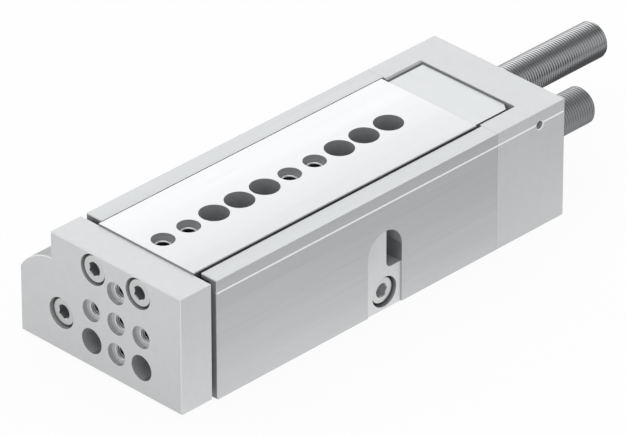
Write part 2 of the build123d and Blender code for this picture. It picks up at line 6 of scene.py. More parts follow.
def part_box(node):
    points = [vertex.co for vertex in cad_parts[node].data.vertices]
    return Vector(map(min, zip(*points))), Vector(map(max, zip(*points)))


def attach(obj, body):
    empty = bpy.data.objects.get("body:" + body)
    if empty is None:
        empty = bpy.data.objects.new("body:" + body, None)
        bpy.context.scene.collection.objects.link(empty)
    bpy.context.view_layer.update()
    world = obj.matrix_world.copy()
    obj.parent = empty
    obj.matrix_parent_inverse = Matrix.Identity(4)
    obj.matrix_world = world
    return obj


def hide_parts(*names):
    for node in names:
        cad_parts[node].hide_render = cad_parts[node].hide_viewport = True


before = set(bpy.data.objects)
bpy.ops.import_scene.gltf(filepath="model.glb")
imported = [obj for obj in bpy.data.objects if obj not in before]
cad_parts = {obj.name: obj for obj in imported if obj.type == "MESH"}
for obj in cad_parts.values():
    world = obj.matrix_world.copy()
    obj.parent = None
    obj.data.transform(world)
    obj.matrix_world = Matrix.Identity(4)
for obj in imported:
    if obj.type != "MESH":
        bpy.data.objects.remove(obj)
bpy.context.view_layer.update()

# Housing
# The long body is an aluminium extrusion, milled for the slide's channel and for the recess in its side.
# It is natural anodised, and its flat sides keep the fine lines of brushing along the travel.
# Its edges are broken by a tenth or two of a millimetre, which gives the thin bright lines.
MM = 0.001
EDGE_WIDTH = 0.14 * MM


def select_only(piece):
    bpy.ops.object.select_all(action="DESELECT")
    piece.select_set(True)
    bpy.context.view_layer.objects.active = piece


def copy_of_node(node, name):
    """Copy of a CAD piece as one closed mesh whose flat faces are whole."""
    piece = bpy.data.objects.new(name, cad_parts[node].data.copy())
    bpy.context.scene.collection.objects.link(piece)
    select_only(piece)
    bpy.ops.mesh.customdata_custom_splitnormals_clear()
    bpy.ops.object.mode_set(mode="EDIT")
    bpy.ops.mesh.select_all(action="SELECT")
    bpy.ops.mesh.remove_doubles(threshold=1e-6)
    bpy.ops.mesh.dissolve_limited(angle_limit=math.radians(0.5))
    bpy.ops.object.mode_set(mode="OBJECT")
    return piece


def apply_modifier(piece, modifier):
    select_only(piece)
    bpy.ops.object.modifier_apply(modifier=modifier.name)


def break_edges(piece, width=EDGE_WIDTH):
    """Rounds every sharp edge a little, as a deburred edge is, inside the piece's own box."""
    corners = [Vector(corner) for corner in piece.bound_box]
    bevel = piece.modifiers.new("edge break", "BEVEL")
    bevel.width = width
    bevel.segments = 2
    bevel.limit_method = "ANGLE"
    bevel.angle_limit = math.radians(40)
    apply_modifier(piece, bevel)
    for vertex in piece.data.vertices:
        vertex.co = [min(max(vertex.co[i], corners[0][i]), corners[6][i]) for i in range(3)]
    bpy.ops.object.shade_smooth_by_angle(angle=math.radians(20))


def linear(code):
    """Linear colour with alpha of an sRGB hex value."""
    parts = [int(code[i:i + 2], 16) / 255 for i in (1, 3, 5)]
    return [c / 12.92 if c <= 0.04045 else ((c + 0.055) / 1.055) ** 2.4 for c in parts] + [1.0]


def add_node(material, kind, inputs=(), **settings):
    """Adds a shader node with its settings, and fills or links its inputs."""
    node = material.node_tree.nodes.new(kind)
    for name, value in settings.items():
        setattr(node, name, value)
    for name, value in dict(inputs).items():
        if isinstance(value, bpy.types.NodeSocket):
            material.node_tree.links.new(value, node.inputs[name])
        else:
            node.inputs[name].default_value = value
    return node


def new_material(name):
    material = bpy.data.materials.new(name)
    material.use_nodes = True
    material.node_tree.nodes.clear()
    return material


def calculate(material, operation, one, other):
    node = add_node(material, "ShaderNodeMath", {0: one, 1: other}, operation=operation)
    return node.outputs[0]


def fade(material, value, start, end, first, last):
    """Goes evenly from a first to a last number while the value goes from start to end."""
    node = add_node(material, "ShaderNodeMapRange", {
        "Value": value, "From Min": start, "From Max": end, "To Min": first, "To Max": last})
    return node.outputs["Result"]


def grain(material, across_mm, along_mm, lay):
    """Noise between 0 and 1 whose streaks have the given size across and along the lay, X, Y or Z."""
    sizes = [along_mm if axis == lay else across_mm for axis in "XYZ"]
    place = add_node(material, "ShaderNodeTexCoord")
    stretched = add_node(material, "ShaderNodeMapping", {
        "Vector": place.outputs["Object"], "Scale": [1 / (size * MM) for size in sizes]})
    noise = add_node(material, "ShaderNodeTexNoise", {
        "Vector": stretched.outputs["Vector"], "Scale": 1.0, "Detail": 3.0, "Roughness": 0.6})
    return noise.outputs["Fac"]


def ranged(material, value, low, high):
    """The middle range of a noise, spread from low to high."""
    return fade(material, value, 0.3, 0.7, low, high)


def metal(name, dark, light, roughness, fine, wide, relief_mm, mirrored=1.0):
    """Metal whose colour, roughness and height follow a fine and a wide pattern."""
    material = new_material(name)
    fine_value = grain(material, *fine)
    wide_value = grain(material, *wide)
    blend = calculate(material, "ADD", ranged(material, fine_value, 0.0, 0.6),
                      ranged(material, wide_value, 0.0, 0.4))
    colour = add_node(material, "ShaderNodeMix", {
        "Factor": blend, 6: linear(dark), 7: linear(light)}, data_type="RGBA")
    bump = add_node(material, "ShaderNodeBump", {
        "Height": fine_value, "Strength": 0.5, "Distance": relief_mm * MM})
    shader = add_node(material, "ShaderNodeBsdfPrincipled", {
        "Base Color": colour.outputs[2], "Metallic": mirrored, "Normal": bump.outputs["Normal"],
        "Roughness": ranged(material, fine_value, roughness - 0.04, roughness + 0.04)})
    add_node(material, "ShaderNodeOutputMaterial", {"Surface": shader.outputs["BSDF"]})
    return material


def paint_faces(piece, material, chosen):
    """Gives a second material, a finish or painted light and shade, to the faces whose centre, in
    millimetres, and normal are chosen.
    """
    piece.data.materials.append(material)
    number = len(piece.data.materials) - 1
    for face in piece.data.polygons:
        if chosen(face.center / MM, face.normal):
            face.material_index = number


def dress(piece, material, body, slot, *nodes):
    """Gives a piece its finish and its body, and lets it stand for CAD nodes."""
    even = piece.modifiers.new("even normals", "WEIGHTED_NORMAL")
    even.keep_sharp = True
    apply_modifier(piece, even)
    piece.data.materials.clear()
    piece.data.materials.append(material)
    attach(piece, body)
    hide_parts(*nodes)


# A dull pale grey with thin lines along the travel, part mirror and part milky oxide layer.
# Real brushed lines are about a tenth of a millimetre wide. They are drawn three times as wide, to be seen.
brushed_anodised = metal("brushed anodised aluminium", "#B6B8B9", "#C3C5C6", 0.42, mirrored=0.75,
                         fine=(0.35, 45.0, "Y"), wide=(3.0, 120.0, "Y"), relief_mm=0.01)
# The recess is cut after brushing, so it looks lighter and without lines.
milled_anodised = metal("milled anodised aluminium", "#CACCCD", "#D4D6D7", 0.42, mirrored=0.75,
                        fine=(0.3, 0.3, "Y"), wide=(3.0, 3.0, "Y"), relief_mm=0.004)
# The groove is painted near white, as a painted highlight of its lit lower flank, and draws a fine line along
# the body.
highlight_white_cut = metal("cut painted white as highlight", "#FAFAFA", "#FFFFFF", 0.4, mirrored=0.1,
                   fine=(0.3, 3.0, "Y"), wide=(3.0, 30.0, "Y"), relief_mm=0.002)
# These places are in millimetres.
RIGHT_FACE = 26.0
GROOVE_DEPTH = 0.4
GROOVE_BOTTOM, GROOVE_TOP = 34.4, 35.2
RECESS_FLOOR = 25.6
WINDOW_DEPTH = 9.6
WINDOW_FRONT, WINDOW_BACK = 7.9, 14.0
WINDOW_BOTTOM, WINDOW_TOP = 13.2, 27.0
FRONT_END = -59.0
JOINT = 53.0
CHANNEL_TOP = 38.0


def in_groove(centre, normal):
    inside = RIGHT_FACE - GROOVE_DEPTH < centre.x < RIGHT_FACE - 0.01
    return inside and GROOVE_BOTTOM < centre.z < GROOVE_TOP and abs(normal.y) < 0.5


def in_recess(centre, normal):
    return normal.x > 0.9 and abs(centre.x - RECESS_FLOOR) < 0.05


def in_window(centre, normal):
    inside = RECESS_FLOOR - WINDOW_DEPTH < centre.x < RECESS_FLOOR - 0.05
    return inside and WINDOW_FRONT < centre.y < WINDOW_BACK and WINDOW_BOTTOM < centre.z < WINDOW_TOP


def at_joint(centre, normal):
    return abs(centre.y - JOINT) < 0.16 and abs(normal.y) < 0.95


def on_front_end(centre, normal):
    return normal.y < -0.9 and centre.y < FRONT_END


housing = copy_of_node("housing", "housing_body")
break_edges(housing)
dress(housing, brushed_anodised, "base", "anodised_aluminium", "housing")
paint_faces(housing, milled_anodised, in_recess)
# The narrow tops beside the channel are painted lighter than the extruded sides, as painted light on faces
# that look up.
lit_top_paint = metal("top of the housing painted lighter", "#BBBDBE", "#C7C9CA", 0.42, mirrored=0.75,
                   fine=(0.35, 45.0, "Y"), wide=(3.0, 120.0, "Y"), relief_mm=0.008)
paint_faces(housing, lit_top_paint, lambda centre, normal: normal.z > 0.95 and centre.z > CHANNEL_TOP)
# The sawn front end is matt, so it mirrors nothing, and its grey is painted darker, as painted shade behind
# the yoke.
shaded_front_end = metal("front end painted in shade", "#8A8C8D", "#989A9B", 0.6, mirrored=0.1,
                    fine=(0.3, 0.3, "Y"), wide=(3.0, 3.0, "Y"), relief_mm=0.008)
paint_faces(housing, shaded_front_end, on_front_end)
# The window's walls are rough from the cutter, so they are matt and fade into the dark inside.
rough_window = metal("rough window wall", "#A4A6A7", "#B0B2B3", 0.6, mirrored=0.2,
                     fine=(0.3, 0.3, "Y"), wide=(3.0, 3.0, "Y"), relief_mm=0.008)
paint_faces(housing, rough_window, in_window)
# The edges at the joint with the cap are painted grey, as painted shade in the joint, and draw a thin grey
# line round the body.
joint_shade_edge = metal("joint edge painted in shade", "#7C7E7F", "#8A8C8D", 0.4, mirrored=0.6,
                  fine=(0.3, 0.3, "Y"), wide=(3.0, 3.0, "Y"), relief_mm=0.002)
paint_faces(housing, joint_shade_edge, at_joint)
# The groove is painted near white as a painted highlight.
paint_faces(housing, highlight_white_cut, in_groove)

# End cap
# The rear cap has the housing's section, and is milled from the same anodised aluminium.
# Two air connections with M5 threads enter its left side, and its pocket is open to the slide.
THREAD_DEPTH = 6.0 * MM
M5_PITCH = 0.8 * MM
M5_RADIUS = 2.5 * MM
M5_CORE = 2.05 * MM


def threaded_rod(name, length, root, crest, pitch, steps=28, flat=0.2, flank=0.3):
    """Closed rod along Z from the origin, with a helical thread between two radii."""
    valley = 1 - flat - 2 * flank
    profile = [(root, 0.0), (root, valley), (crest, valley + flank), (crest, 1 - flank), (root, 1.0)]
    points = [(radius, 0, (part - 1) * pitch) for radius, part in profile]
    mesh = bpy.data.meshes.new(name)
    mesh.from_pydata(points, [(i, i + 1) for i in range(len(points) - 1)], [])
    rod = bpy.data.objects.new(name, mesh)
    bpy.context.scene.collection.objects.link(rod)
    screw = rod.modifiers.new("thread", "SCREW")
    screw.axis = "Z"
    screw.steps = screw.render_steps = steps
    screw.screw_offset = pitch
    screw.iterations = math.ceil(length / pitch) + 2
    apply_modifier(rod, screw)
    bpy.ops.object.mode_set(mode="EDIT")
    bpy.ops.mesh.select_all(action="SELECT")
    bpy.ops.mesh.remove_doubles(threshold=1e-6)
    bpy.ops.mesh.bisect(plane_co=(0, 0, 0), plane_no=(0, 0, 1), clear_inner=True,
                        threshold=1e-7)
    bpy.ops.mesh.select_all(action="SELECT")
    bpy.ops.mesh.bisect(plane_co=(0, 0, length), plane_no=(0, 0, 1), clear_outer=True,
                        threshold=1e-7)
    bpy.ops.mesh.select_all(action="SELECT")
    bpy.ops.mesh.fill_holes(sides=0)
    bpy.ops.object.mode_set(mode="OBJECT")
    turn_faces_out(rod)
    return rod


def turn_faces_out(piece):
    select_only(piece)
    bpy.ops.object.mode_set(mode="EDIT")
    bpy.ops.mesh.select_all(action="SELECT")
    bpy.ops.mesh.normals_make_consistent(inside=False)
    bpy.ops.object.mode_set(mode="OBJECT")


def turn_and_place(piece, direction, place):
    """Turns what was made along Z to a direction, and moves its origin to a place."""
    turn = Vector((0, 0, 1)).rotation_difference(Vector(direction)).to_matrix().to_4x4()
    piece.data.transform(Matrix.Translation(place) @ turn)


def cut_away(piece, cutter):
    cut = piece.modifiers.new("cut", "BOOLEAN")
    cut.operation = "DIFFERENCE"
    cut.solver = "MANIFOLD"
    cut.object = cutter
    apply_modifier(piece, cut)
    bpy.data.objects.remove(cutter)
    bpy.ops.object.shade_smooth_by_angle(angle=math.radians(20))


def joined(pieces):
    select_only(pieces[0])
    for piece in pieces[1:]:
        piece.select_set(True)
    bpy.ops.object.join()
    return pieces[0]


def tap_holes(piece, mouths, direction, depth):
    """Cuts M5 threads into plain holes."""
    cutters = []
    for mouth in mouths:
        tap = threaded_rod("tap", depth, M5_CORE, M5_RADIUS, M5_PITCH)
        turn_and_place(tap, direction, Vector(mouth))
        cutters.append(tap)
    cut_away(piece, joined(cutters))


def countersink_holes(piece, mouths, direction, inner, outer, depth):
    """Cuts a short conical lead into holes whose middles lie on a face."""
    cones = []
    for mouth in mouths:
        bpy.ops.mesh.primitive_cone_add(vertices=48, radius1=inner, radius2=outer, depth=depth,
                                        location=(0, 0, 0))
        cone = bpy.context.active_object
        bpy.ops.object.transform_apply(location=True, rotation=True, scale=True)
        turn_and_place(cone, direction, Vector(mouth))
        cones.append(cone)
    cut_away(piece, joined(cones))


def hole_distance(across, up, middles):
    """Millimetres from a point in a face to the nearest of the hole middles in it."""
    return min(math.hypot(across - middle[0] / MM, up - middle[1] / MM) for middle in middles)


PORT_PLACES = ((9.0, 5.0), (19.0, 13.6))
cap_low, cap_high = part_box("end_cap")
port_mouths = [(cap_low.x - 0.3 * MM, cap_low.y + back * MM, up * MM) for back, up in PORT_PLACES]
end_cap = copy_of_node("end_cap", "end_cap_body")
break_edges(end_cap)
tap_holes(end_cap, port_mouths, (1, 0, 0), THREAD_DEPTH)
# The small blind hole in its right side has a chamfered rim, painted near white as a painted highlight.
SIDE_HOLE = (cap_high.x, cap_high.y - 10.4 * MM, cap_high.z - 4.55 * MM)
countersink_holes(end_cap, [SIDE_HOLE], (1, 0, 0), inner=1.3 * MM, outer=1.8 * MM, depth=0.5 * MM)
# The cap is cut from a plate, and its finish is even and a shade lighter than the extrusion's.
plate_anodised = metal("plate anodised aluminium", "#C6C8C9", "#CED0D1", 0.42, mirrored=0.4,
                       fine=(0.3, 0.3, "Y"), wide=(4.0, 4.0, "Y"), relief_mm=0.004)
dress(end_cap, plate_anodised, "base", "anodised_aluminium", "end_cap")
# The cap's groove is painted near white as a painted highlight.
paint_faces(end_cap, highlight_white_cut, in_groove)
paint_faces(end_cap, highlight_white_cut, lambda centre, normal: (
    0.3 < normal.x < 0.95 and hole_distance(centre.y, centre.z, [SIDE_HOLE[1:]]) < 1.7))
# The cap's edges at the joint are painted grey as painted shade.
paint_faces(end_cap, joint_shade_edge, at_joint)

# Joint rings
# Two nitrile rubber rings lie in the cap's front face, round the bore and round the air passage.
# Moulded rubber is matt and nearly black, with a faint bloom.


def coat(node, material):
    """Gives a CAD piece that stays as it is its finish."""
    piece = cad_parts[node]
    for place in piece.material_slots:
        place.material = material


def dull_solid(name, dark, light, roughness, grain_mm, relief_mm):
    """Plastic or rubber with fine mottling and a light moulded grain."""
    material = new_material(name)
    mottle = grain(material, grain_mm, grain_mm, "Y")
    colour = add_node(material, "ShaderNodeMix", {
        "Factor": ranged(material, mottle, 0.0, 1.0), 6: linear(dark), 7: linear(light)}, data_type="RGBA")
    bump = add_node(material, "ShaderNodeBump", {
        "Height": mottle, "Strength": 0.5, "Distance": relief_mm * MM})
    shader = add_node(material, "ShaderNodeBsdfPrincipled", {
        "Base Color": colour.outputs[2], "Normal": bump.outputs["Normal"],
        "Roughness": ranged(material, mottle, roughness - 0.05, roughness + 0.05)})
    add_node(material, "ShaderNodeOutputMaterial", {"Surface": shader.outputs["BSDF"]})
    return material


nitrile_rubber = dull_solid("moulded nitrile rubber", "#151515", "#242424", 0.6, 0.25, 0.02)
coat("joint_rings", nitrile_rubber)

# Guide rails
# A hardened and ground steel rail is let into each side of the channel, with a raceway for the balls.
# Grinding leaves a bright surface with very fine lines along the rail.
ground_rail_steel = metal("ground rail steel", "#9FA1A3", "#B2B4B5", 0.25,
                          fine=(0.2, 30.0, "Y"), wide=(2.0, 60.0, "Y"), relief_mm=0.004)
for side in ("left", "right"):
    coat(f"guide_rail_{side}", ground_rail_steel)

# Ball guide
# Each side has a row of hardened steel balls in a strip of punched plastic, which keeps them apart.
# Bearing balls are lapped to a mirror finish, and the cage is a smooth ivory polyamide.
lapped_ball_steel = metal("lapped ball steel", "#C4C6C8", "#CDCFD0", 0.12,
                          fine=(0.3, 0.3, "Y"), wide=(1.5, 1.5, "Y"), relief_mm=0.001)
cage_polyamide = dull_solid("natural cage polyamide", "#D6D0BE", "#E0DBCB", 0.45, 0.3, 0.01)
for side in ("left", "right"):
    coat(f"guide_balls_{side}", lapped_ball_steel)
    coat(f"ball_cage_{side}", cage_polyamide)

# Fixed stop
# A machined steel bar crosses the housing under the slide, and takes the blow of the advance stop.
# Its milled faces are dark and slightly oily, with the cutter's fine marks.
milled_steel = metal("milled steel", "#7A7C7E", "#8E9092", 0.35,
                     fine=(0.3, 6.0, "X"), wide=(2.0, 20.0, "X"), relief_mm=0.008)
fixed_stop = copy_of_node("fixed_stop", "fixed_stop_bar")
break_edges(fixed_stop)
dress(fixed_stop, milled_steel, "base", "stop_steel", "fixed_stop")

# Rod bearing
# A bronze bush guides the rod at the front of the bore, behind a spring steel ring in its groove.
# Turned bronze is warm and shows rings of the tool, and the spring steel is dark from its heat treatment.
turned_bronze = metal("turned bearing bronze", "#9A7A48", "#AD8C58", 0.3,
                      fine=(0.25, 0.25, "Y"), wide=(2.0, 2.0, "Y"), relief_mm=0.006)
spring_steel = metal("blackened spring steel", "#3A3B3D", "#4A4B4D", 0.38,
                     fine=(0.3, 0.3, "Y"), wide=(2.0, 2.0, "Y"), relief_mm=0.004)
rod_bearing = copy_of_node("rod_bearing", "rod_bearing_bush")
break_edges(rod_bearing)
dress(rod_bearing, turned_bronze, "base", "bearing_bronze", "rod_bearing")
circlip = copy_of_node("circlip", "circlip_ring")
break_edges(circlip, EDGE_WIDTH / 2)
dress(circlip, spring_steel, "base", "spring_steel", "circlip")
coat("rod_bearing_ring", nitrile_rubber)
coat("rod_seal", nitrile_rubber)
coat("passage_plug", spring_steel)

# Piston rod
# The rod is hard chromed steel, ground and polished, with two key flats behind the yoke.
# It is the brightest piece of the object, almost a mirror.
polished_chrome = metal("polished hard chrome", "#C8CACC", "#D2D4D5", 0.1,
                        fine=(0.3, 0.3, "Y"), wide=(3.0, 3.0, "Y"), relief_mm=0.001)
piston_rod = copy_of_node("piston_rod", "chromed_rod")
break_edges(piston_rod, EDGE_WIDTH / 2)
dress(piston_rod, polished_chrome, "carriage", "hard_chrome", "piston_rod")

# Piston
# A turned aluminium piston carries two rubber seals and a ring of bonded magnet, and a nut holds it.
# The magnet is dark plastic filled with iron powder, and the nut is zinc plated.
# Turned aluminium is silvery with fine rings, and zinc is a clear pale silver.
turned_aluminium = metal("turned aluminium", "#A9ABAD", "#B9BBBC", 0.3,
                         fine=(0.25, 0.25, "Y"), wide=(2.0, 2.0, "Y"), relief_mm=0.006)
bonded_magnet = dull_solid("bonded magnet", "#2A2624", "#38332F", 0.55, 0.2, 0.01)
bright_zinc = metal("bright zinc on steel", "#BCBDBD", "#C9CACA", 0.32,
                    fine=(0.25, 0.25, "Y"), wide=(1.5, 1.5, "Y"), relief_mm=0.003)
coat("piston", turned_aluminium)
coat("piston_seals", nitrile_rubber)
coat("piston_magnet", bonded_magnet)
coat("piston_nut", bright_zinc)

# Slide
# A hardened steel plate runs between the rails, with its top ground flat.
# Ten holes stand in a row on its top: six wide ones, and four seats with M5 threads for the load.
SLIDE_THREAD_ROWS = (-5.5, -4.5, -0.5, 0.5)
GRID = 10.0 * MM
SEAT_DEPTH = 1.8 * MM
# These are distances from the middle of a hole, in millimetres, that just take in its wall or its thread.
WIDE_HOLE_REACH = 4.6
SEAT_REACH = 3.5
THREAD_REACH = 3.1
# Fine grinding leaves a bright silky face with hair lines along the travel, drawn coarser to be seen.
ground_steel = metal("fine ground steel", "#C4C5C6", "#CDCECF", 0.38,
                     fine=(0.3, 50.0, "Y"), wide=(4.0, 150.0, "Y"), relief_mm=0.004)
# Only the top is ground. The faces below it are painted dark grey, as painted shade in the narrow gaps round
# the slide, and the bored holes are a dull grey.
side_shade_paint = metal("slide sides painted in shade", "#6E7172", "#7E8182", 0.42, mirrored=0.7,
                      fine=(0.3, 0.3, "Y"), wide=(3.0, 3.0, "Y"), relief_mm=0.004)
# The top is drawn as if it were slightly convex, more than a real one, so it darkens to the right.
CROWN = 1.8


def crown(material, sag):
    """Lets the light roll off across X, as on a face that is ground slightly convex."""
    shader = material.node_tree.nodes["Principled BSDF"]
    place = add_node(material, "ShaderNodeTexCoord")
    parts = add_node(material, "ShaderNodeSeparateXYZ", {"Vector": place.outputs["Object"]})
    square = calculate(material, "MULTIPLY", parts.outputs["X"], parts.outputs["X"])
    bump = add_node(material, "ShaderNodeBump", {
        "Height": square, "Strength": 1.0, "Distance": sag,
        "Normal": shader.inputs["Normal"].links[0].from_socket}, invert=True)
    material.node_tree.links.new(bump.outputs["Normal"], shader.inputs["Normal"])


crown(ground_steel, CROWN)
slide_low, slide_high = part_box("slide")
slide = copy_of_node("slide", "slide_plate")
break_edges(slide)
thread_start = slide_low.z - M5_PITCH
thread_length = slide_high.z - SEAT_DEPTH - thread_start + 0.01 * MM
tap_holes(slide, [(0, row * GRID, thread_start) for row in SLIDE_THREAD_ROWS], (0, 0, 1), thread_length)
seats = [(0, row * GRID, slide_high.z - SEAT_DEPTH) for row in SLIDE_THREAD_ROWS]
countersink_holes(slide, seats, (0, 0, 1), M5_CORE, M5_RADIUS + 0.3 * MM, 0.6 * MM)
dress(slide, ground_steel, "carriage", "ground_steel", "slide")
# The faces that do not look up are painted dark grey as painted shade.
paint_faces(slide, side_shade_paint, lambda centre, normal: normal.z < 0.3)
bored_steel = metal("bored steel wall", "#A2A4A5", "#B0B2B3", 0.5, mirrored=0.3,
                    fine=(0.3, 0.3, "Z"), wide=(2.0, 2.0, "Z"), relief_mm=0.006)
paint_faces(slide, bored_steel, lambda centre, normal: (
    abs(centre.x) < WIDE_HOLE_REACH and abs(normal.z) < 0.8))
# Threads and their leads are cut last, as bare metal, and are painted near white as painted light inside the
# holes.
thread_painted_light = metal("fresh cut thread painted light", "#E4E6E7", "#EEF0F0", 0.3, mirrored=0.5,
                     fine=(0.2, 0.2, "Y"), wide=(1.0, 1.0, "Y"), relief_mm=0.002)
paint_faces(slide, thread_painted_light, lambda centre, normal: (
    abs(centre.x) < SEAT_REACH and normal.z > 0.4 and centre.z < slide_high.z / MM - 1))
# The seat floors are faced with a sharp cutter, and mirror the grey wall round them.
faced_floor = metal("faced seat floor", "#E0E2E3", "#E8EAEA", 0.16,
                    fine=(0.2, 0.2, "Y"), wide=(1.0, 1.0, "Y"), relief_mm=0.001)
seat_floor = (slide_high.z - SEAT_DEPTH) / MM
paint_faces(slide, faced_floor, lambda centre, normal: (
    abs(centre.x) < SEAT_REACH and normal.z > 0.9 and abs(centre.z - seat_floor) < 0.3))
# The deep turns are painted black, as painted shade, behind the light first ones.
deep_thread_shade = metal("deep thread painted in shade", "#2A2C2E", "#36383A", 0.35, mirrored=0.6,
                    fine=(0.2, 0.2, "Y"), wide=(1.0, 1.0, "Y"), relief_mm=0.002)
paint_faces(slide, deep_thread_shade, lambda centre, normal: (
    centre.z < seat_floor - 0.8 and hole_distance(centre.x, centre.y, seats) < THREAD_REACH))

# Yoke plate
# The front plate is milled from aluminium, anodised, and its edges are broken all round.
# A cross of five M5 threads with locating seats, two plain holes and three sunk screws fill its face.
YOKE_GRID_HEIGHT = 19.65 * MM
YOKE_CROSS = ((0, 1), (-1, 0), (0, 0), (1, 0), (0, -1))
# It is blasted before the anodising, so it looks pale and even, like satin.
satin_anodised = metal("satin anodised aluminium", "#CBCCCD", "#D3D4D5", 0.45, mirrored=0.45,
                       fine=(0.3, 0.3, "Y"), wide=(3.0, 3.0, "Y"), relief_mm=0.008)
yoke_low, yoke_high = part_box("yoke_plate")
yoke = copy_of_node("yoke_plate", "yoke_front_plate")
break_edges(yoke, 0.1 * MM)
thread_start = yoke_high.y + M5_PITCH
thread_length = thread_start - yoke_low.y - SEAT_DEPTH + 0.01 * MM
mouths = [(across * GRID, thread_start, YOKE_GRID_HEIGHT + up * GRID) for across, up in YOKE_CROSS]
tap_holes(yoke, mouths, (0, -1, 0), thread_length)
seats = [(x, yoke_low.y + SEAT_DEPTH, z) for x, _, z in mouths]
countersink_holes(yoke, seats, (0, -1, 0), M5_CORE, M5_RADIUS + 0.1 * MM, 0.4 * MM)
dress(yoke, satin_anodised, "carriage", "yoke_aluminium", "yoke_plate")
# The two plain holes and the seats are reamed after the blasting, and their walls look evenly grey.
reamed_wall = metal("reamed aluminium wall", "#B2B4B5", "#BEC0C1", 0.45, mirrored=0.3,
                    fine=(0.2, 0.2, "Y"), wide=(2.0, 2.0, "Y"), relief_mm=0.004)
PLAIN_HOLE_REACH = 4.02
COUNTERBORE_REACH = 5.1
thread_middles = [(x, z) for x, _, z in seats]
plain_middles = [(across * GRID, YOKE_GRID_HEIGHT - GRID) for across in (-1, 1)]


def in_thread(centre, normal):
    reach = SEAT_REACH if normal.y < -0.9 else THREAD_REACH
    return centre.y > yoke_low.y / MM + 1 and hole_distance(centre.x, centre.z, thread_middles) < reach


def on_reamed_wall(centre, normal):
    in_plain_hole = hole_distance(centre.x, centre.z, plain_middles) < PLAIN_HOLE_REACH
    in_seat = abs(hole_distance(centre.x, centre.z, thread_middles) - SEAT_REACH) < 0.1
    return abs(normal.y) < 0.3 and (in_plain_hole or in_seat)


# The yoke's threads and seat floors are painted near white as painted light.
paint_faces(yoke, thread_painted_light, in_thread)
# The yoke's deep turns are painted black as painted shade.
paint_faces(yoke, deep_thread_shade, lambda centre, normal: (
    centre.y > (yoke_low.y + SEAT_DEPTH) / MM + 1.6 and in_thread(centre, normal)))
paint_faces(yoke, reamed_wall, on_reamed_wall)
# The round shoulder over the cylinder is painted a darker grey than the flat top, as painted shade beside the
# yoke's upright.
shoulder_shade_paint = metal("shoulder painted in shade", "#9A9C9D", "#A8AAAB", 0.45, mirrored=0.45,
                      fine=(0.3, 0.3, "Y"), wide=(3.0, 3.0, "Y"), relief_mm=0.008)
paint_faces(yoke, shoulder_shade_paint, lambda centre, normal: (
    normal.x < -0.05 and normal.z > 0.3 and abs(normal.y) < 0.1 and centre.z < yoke_high.z / MM - 1))
# The broken edges are painted light, as painted highlights, and draw thin bright lines round the front and
# the holes.
edge_highlight_paint = metal("broken edge painted as highlight", "#E2E3E4", "#EAEBEC", 0.4, mirrored=0.3,
                      fine=(0.3, 0.3, "Y"), wide=(2.0, 2.0, "Y"), relief_mm=0.002)
paint_faces(yoke, edge_highlight_paint, lambda centre, normal: max(abs(n) for n in normal) < 0.96 and (
    centre.y < yoke_low.y / MM + 0.2 or centre.z > yoke_high.z / MM - 0.2))

# Screws
# All are hexagon socket cap screws of bright zinc plated steel, M5 in front and in the side, M4 at the back.
# Their heads are turned, with a rounded rim, and sit in counterbores.
HEAD_ROUND = 0.45 * MM
TIP_CHAMFER = 0.3 * MM
SOCKET_LEAD = 0.3 * MM


def select_faces(piece, chosen):
    """Leaves the piece in edit mode with those faces selected whose centre and normal are chosen."""
    select_only(piece)
    for edge in piece.data.edges:
        edge.select = False
    for vertex in piece.data.vertices:
        vertex.select = False
    for face in piece.data.polygons:
        face.select = chosen(face.center, face.normal)
    bpy.ops.object.mode_set(mode="EDIT")
    bpy.ops.mesh.select_mode(type="FACE")


def cap_screw(name, head_radius, head_height, hex_width, shank_radius, reach):
    """Socket screw along Z, with its head above the origin and its shank below."""
    bpy.ops.object.select_all(action="DESELECT")
    bpy.ops.mesh.primitive_cylinder_add(vertices=64, radius=head_radius, depth=head_height,
                                        location=(0, 0, head_height / 2))
    screw = bpy.context.active_object
    screw.name = name
    bpy.ops.object.transform_apply(location=True, rotation=True, scale=True)
    select_faces(screw, lambda centre, normal: normal.z > 0.9)
    bpy.ops.mesh.bevel(offset=HEAD_ROUND, segments=4, affect="EDGES")
    bpy.ops.object.mode_set(mode="OBJECT")
    select_faces(screw, lambda centre, normal: normal.z < -0.9)
    bpy.ops.mesh.inset(thickness=head_radius - shank_radius)
    bpy.ops.mesh.extrude_region_move(TRANSFORM_OT_translate={"value": (0, 0, -reach)})
    bpy.ops.mesh.bevel(offset=TIP_CHAMFER, segments=1, affect="EDGES")
    bpy.ops.object.mode_set(mode="OBJECT")
    corner_radius = hex_width / math.sqrt(3)
    hex_depth = 0.55 * head_height
    bpy.ops.mesh.primitive_cylinder_add(vertices=6, radius=corner_radius, depth=2 * hex_depth,
                                        location=(0, 0, head_height))
    socket = bpy.context.active_object
    bpy.ops.mesh.primitive_cone_add(vertices=48, radius1=corner_radius - SOCKET_LEAD,
                                    radius2=corner_radius + SOCKET_LEAD, depth=2 * SOCKET_LEAD,
                                    location=(0, 0, head_height))
    cone = bpy.context.active_object
    for cutter in (socket, cone):
        cut_away(screw, cutter)
    bpy.ops.object.shade_smooth_by_angle(angle=math.radians(35))
    return screw


M5_HEAD = {"head_radius": 4.25 * MM, "head_height": 5.0 * MM, "hex_width": 4.0 * MM, "shank_radius": 2.5 * MM}
M4_HEAD = {"head_radius": 3.5 * MM, "head_height": 4.0 * MM, "hex_width": 3.0 * MM, "shank_radius": 2.0 * MM}
# The broached socket's flats and floor are painted dark, as painted shade inside the bright lead.
socket_shade_paint = metal("socket painted in shade", "#808284", "#909294", 0.45, mirrored=0.5,
                    fine=(0.2, 0.2, "Y"), wide=(1.0, 1.0, "Y"), relief_mm=0.004)


